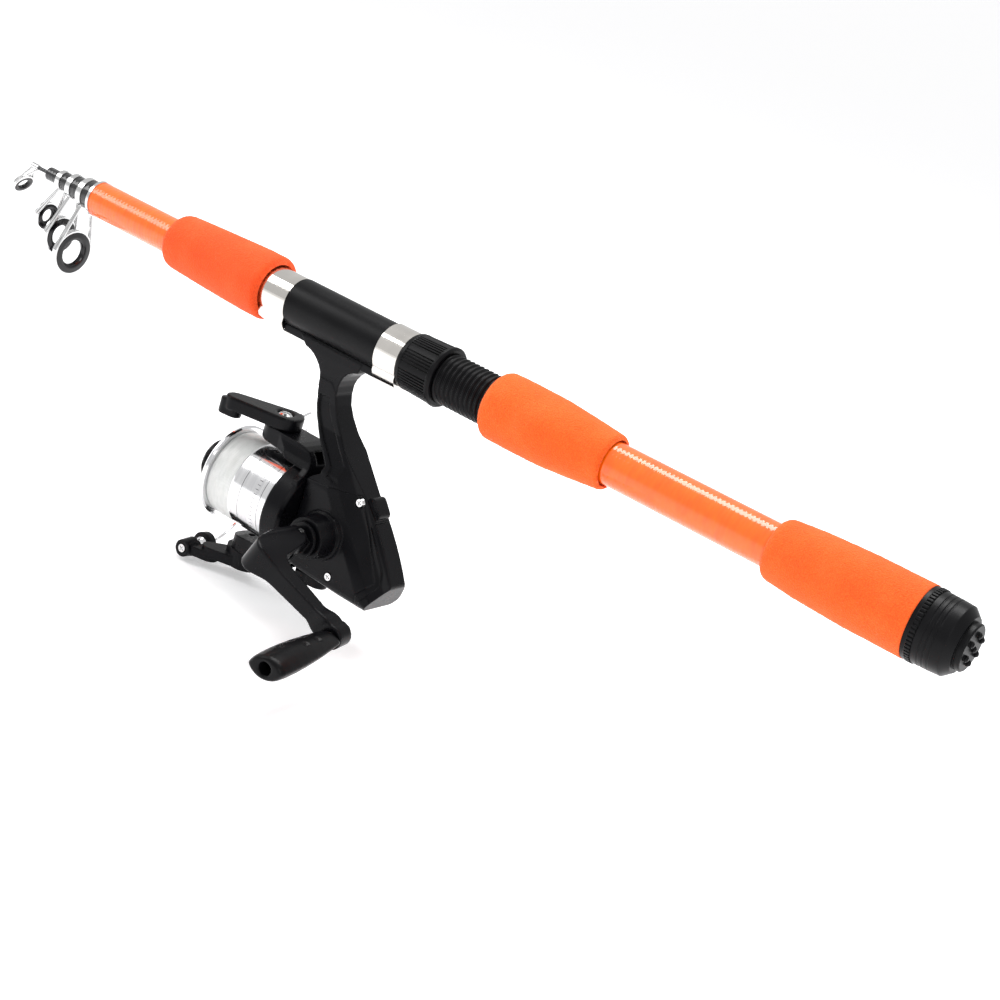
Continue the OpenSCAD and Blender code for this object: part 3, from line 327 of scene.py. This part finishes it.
def floor_material():
    """White paper with a weak glow, so that it reads white out to the horizon."""
    s = Shader("floor_paper", (0.94, 0.94, 0.95), 0.7, specular=0.2)
    s.surface.inputs["Emission Color"].default_value = (1, 1, 1, 1)
    s.surface.inputs["Emission Strength"].default_value = 0.3
    s.bump(s.noise(400, detail=2), 0.00005, 0.2)
    return s.material


def paint(material, *names):
    """Gives carried-over CAD nodes one material."""
    for name in names:
        mesh = NODES[name].data
        mesh.materials.clear()
        mesh.materials.append(material)


orange = blank_material("orange_blank", (0.95, 0.13, 0.0), (0.88, 0.105, 0.0))
gloss_black = blank_material("black_blank", (0.003, 0.003, 0.004), (0.002, 0.002, 0.003))
satin_black = plastic_material("satin_black", (0.0022, 0.0022, 0.003), 0.27, edge=0.0012)
cap_black = plastic_material("cap_black", (0.003, 0.003, 0.0035), 0.34, edge=0.0004)
knob_black = plastic_material("knob_black", (0.0025, 0.0025, 0.003), 0.30, grain_depth=0.00006, edge=0.0012)
white_plastic = plastic_material("white_acetal", (0.8, 0.8, 0.78), 0.4)
hood_metal = metal_material("hood_plate", (0.78, 0.75, 0.71), 0.09, brush=(1, 0.1, 0.1))
steel = metal_material("bright_steel", (0.72, 0.72, 0.72), 0.16)
chrome = metal_material("chrome", (0.86, 0.86, 0.87), 0.07)
brass = metal_material("brass", (0.78, 0.58, 0.28), 0.22)
liner = plastic_material("ring_liner", (0.003, 0.003, 0.004), 0.16, specular=0.4)

paint(orange, "blank")
paint(gloss_black, "section_5", "section_4", "section_3", "section_2", "tip_section")
paint(steel, "blank_ring", "guide_5_frame", "guide_4_frame", "guide_3_frame", "tip_top_frame")
paint(liner, "guide_5_ring", "guide_4_ring", "guide_3_ring", "tip_top_ring")
paint(cap_black, "cap_ring", "butt_cap", "lock_nut", "reel_seat")
paint(hood_metal, "front_hood", "rear_hood")
paint(satin_black, "reel_frame", "side_cover", "tail_cover", "rotor", "bail_lever", "line_arm", "roller_cone",
      "anti_reverse_lever", "handle_shank", "handle_arm", "drag_knob")
paint(knob_black, "handle_knob")
paint(steel, "cover_screws", "roller_screw", "bail_screws", "fold_pin", "knob_spindle", "guide_rod", "main_shaft",
      "rotor_nut", "main_bearing")
paint(chrome, "bail_wire", "line_roller")
paint(spool_material("spool_metal", -0.086, (-0.2878, -0.2995), -0.2912), "spool")
paint(brass, "gear_bushing", "pinion", "drive_gear")
paint(white_plastic, "oscillation_block")
paint(line_material("wound_line"), "wound_line")
paint(felt_material("drag_felt"), "drag_washers")


# ---- foam grips
def revolve(name, profile, around=96):
    """A closed ring about the rod's axis from (x, radius) points, in metres."""
    mesh = bpy.data.meshes.new(name)
    grid = bmesh.new()
    rings = []
    for x, r in profile:
        ring = []
        for k in range(around):
            angle = 2 * math.pi * k / around
            ring.append(grid.verts.new((x, r * math.sin(angle), r * math.cos(angle))))
        rings.append(ring)
    for first, second in zip(rings, rings[1:] + rings[:1]):
        for k in range(around):
            n = (k + 1) % around
            grid.faces.new((first[k], first[n], second[n], second[k]))
    bmesh.ops.recalc_face_normals(grid, faces=grid.faces)
    grid.to_mesh(mesh)
    grid.free()
    for face in mesh.polygons:
        face.use_smooth = True
    piece = bpy.data.objects.new(name, mesh)
    bpy.context.scene.collection.objects.link(piece)
    return piece


def outline_of(node):
    """The outer radius along a turned node, from its outward faces: sorted (x, radius)."""
    mesh = NODES[node].data
    widest = {}
    for face in mesh.polygons:
        centre = face.center
        if face.normal.y * centre.y + face.normal.z * centre.z <= 0:
            continue
        for index in face.vertices:
            point = mesh.vertices[index].co
            x = round(point.x, 5)
            widest[x] = max(widest.get(x, 0), math.hypot(point.y, point.z))
    return sorted(widest.items())


def inner_of(node, x):
    """The smallest radius of a turned node near x."""
    near = [math.hypot(v.co.y, v.co.z) for v in NODES[node].data.vertices if abs(v.co.x - x) < 0.0005]
    return min(near)


def outer_at(outline, x):
    """Radius at x on a sorted (x, radius) outline."""
    for (x0, r0), (x1, r1) in zip(outline, outline[1:]):
        if x0 <= x <= x1:
            return r0 + (r1 - r0) * (x - x0) / max(x1 - x0, 1e-9)
    return outline[0][1] if x < outline[0][0] else outline[-1][1]


def foam_grip(node, material, step=0.0008, pore=0.00012):
    """A foam sleeve over its CAD solid, with flat ends and a pored skin."""
    outline = outline_of(node)
    x0, x1 = outline[0][0], outline[-1][0]
    inner0, inner1 = inner_of(node, x0), inner_of(node, x1)
    count = int((x1 - x0) / step)
    skin = [(x0 + (x1 - x0) * i / count, outer_at(outline, x0 + (x1 - x0) * i / count)) for i in range(count + 1)]
    start = [(x0, inner0 + (skin[0][1] - inner0) * k / 6) for k in range(6)]
    end = [(x1, skin[-1][1] + (inner1 - skin[-1][1]) * k / 6) for k in range(1, 7)]
    piece = revolve(node + "_foam", start + skin + end)
    for vertex in piece.data.vertices:
        radial = Vector((0, vertex.co.y, vertex.co.z))
        if radial.length < min(inner0, inner1) + 0.0004:
            continue
        lump = noise.noise(vertex.co * 900) + 0.6 * noise.noise(vertex.co * 2300)
        soft = noise.noise(vertex.co * 45)
        vertex.co += radial.normalized() * (pore * lump + 0.00012 * soft - 0.00008)
    piece.data.materials.append(material)
    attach(piece, "rod")
    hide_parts(node)


foam_grip("rear_grip", foam_material("foam_rear", (1.0, 0.12, 0.014)))
foam_grip("middle_grip", foam_material("foam_middle", (1.0, 0.12, 0.012)))
foam_grip("front_grip", foam_material("foam_front", (0.98, 0.085, 0.012)))


# ---- softly rounded mouldings
# the crank's own frame, with x along the crank, and the knob's, with -y along the knob
CRANK_AXIS = (-0.256, 0, -0.086)
CRANK_ANGLE, KNOB_LEAN, KNOB_ROLL = 24, 7.5, -31.4
CRANK_LENGTH, KNOB_START = 0.0496, -0.051
ARM = Matrix.Translation(CRANK_AXIS) @ Matrix.Rotation(math.radians(CRANK_ANGLE), 4, "Y")
KNOB = ARM @ Matrix.Translation((CRANK_LENGTH, KNOB_START, 0)) @ Matrix.Rotation(math.radians(KNOB_LEAN), 4, "Z") \
    @ Matrix.Rotation(math.radians(KNOB_ROLL), 4, "Y")
ELBOW_X, ELBOW_Y, ARM_SLOPE = 0.005, -0.0545, 0.195
ARM_SLIM = 0.30
# knob dimples in millimetres, with their radius and depth in metres
DIMPLES = ((-3, 14), (2.6, 12), (-3.4, 23), (3, 21), (-2, 32))
DIMPLE_RADIUS, DIMPLE_DEPTH = 0.0016, 0.0009


def bake(piece):
    """Applies the piece's modifiers to its mesh."""
    bpy.context.view_layer.update()
    graph = bpy.context.evaluated_depsgraph_get()
    mesh = bpy.data.meshes.new_from_object(piece.evaluated_get(graph))
    piece.modifiers.clear()
    piece.data = mesh


def softened(node, body, material, rounds, shape=None, worn=None, voxel=0.0005):
    """Stands a round-edged copy for a moulding: shaped first if asked, and kept sharp where worn is 0."""
    piece = bpy.data.objects.new(node + "_soft", NODES[node].data.copy())
    bpy.context.scene.collection.objects.link(piece)
    remesh = piece.modifiers.new("voxels", "REMESH")
    remesh.mode = "VOXEL"
    remesh.voxel_size = voxel
    bake(piece)
    if shape:
        for vertex in piece.data.vertices:
            vertex.co = shape(vertex.co)
    smooth = piece.modifiers.new("smooth", "SMOOTH")
    smooth.factor = 0.5
    smooth.iterations = rounds
    if worn:
        group = piece.vertex_groups.new(name="worn")
        for vertex in piece.data.vertices:
            group.add([vertex.index], worn(vertex.co), "REPLACE")
        smooth.vertex_group = "worn"
    bake(piece)
    piece.vertex_groups.clear()
    for face in piece.data.polygons:
        face.use_smooth = True
    piece.data.materials.clear()
    piece.data.materials.append(material)
    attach(piece, body)
    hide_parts(node)


def ease(value, low, high):
    """0 below low, 1 above high, with a soft step between."""
    t = min(1, max(0, (value - low) / (high - low)))
    return t * t * (3 - 2 * t)


def arm_shape(point):
    """Slims the crank arm between its fork and its boss."""
    p = ARM.inverted() @ point
    centre = ELBOW_Y + (p.x - ELBOW_X) * ARM_SLOPE
    slim = ARM_SLIM * ease(p.x, 0.004, 0.016) * (1 - ease(p.x, 0.036, 0.043))
    p.z *= 1 - slim
    p.y += (centre - p.y) * slim
    return ARM @ p


def arm_worn(point):
    """The fork round the hub keeps its clearance."""
    return ease(-point.y, 0.0405, 0.046)


def knob_shape(point):
    """Presses the grip's dimples into both faces."""
    p = KNOB.inverted() @ point
    for x, y in DIMPLES:
        near = math.hypot(p.x - x / 1000, p.y + y / 1000)
        if near < DIMPLE_RADIUS and abs(p.z) > 0.003:
            p.z -= math.copysign(DIMPLE_DEPTH * (1 - ease(near, 0.0005, DIMPLE_RADIUS)), p.z)
    return KNOB @ p


softened("handle_arm", "arm", satin_black, 12, arm_shape, arm_worn, voxel=0.0004)
softened("handle_knob", "knob", knob_black, 3, knob_shape)
softened("bail_lever", "bail", satin_black, 6)


# ---- studio
def add_floor(lowest, reach):
    """A plain pale floor under the lowest point, out to the horizon."""
    mesh = bpy.data.meshes.new("floor")
    corners = [(-reach, -reach, lowest), (reach, -reach, lowest), (reach, reach, lowest), (-reach, reach, lowest)]
    mesh.from_pydata(corners, [], [(0, 1, 2, 3)])
    floor = bpy.data.objects.new("floor", mesh)
    mesh.materials.append(floor_material())
    bpy.context.scene.collection.objects.link(floor)


add_floor(cad_box[0][2], 60.0)
add_world((1.0, 1.0, 1.0), 0.72)
area_light("key", (-0.35, 0.25, 1.0), (-0.2, 0, 0), (0.8, 0.45), 11)
area_light("fill", (0.8, -1.0, 0.8), (-0.2, 0, -0.05), (0.6, 0.6), 5)
area_light("rim", (-1.1, -0.5, 0.7), (-0.25, 0, -0.05), (0.4, 0.6), 4)
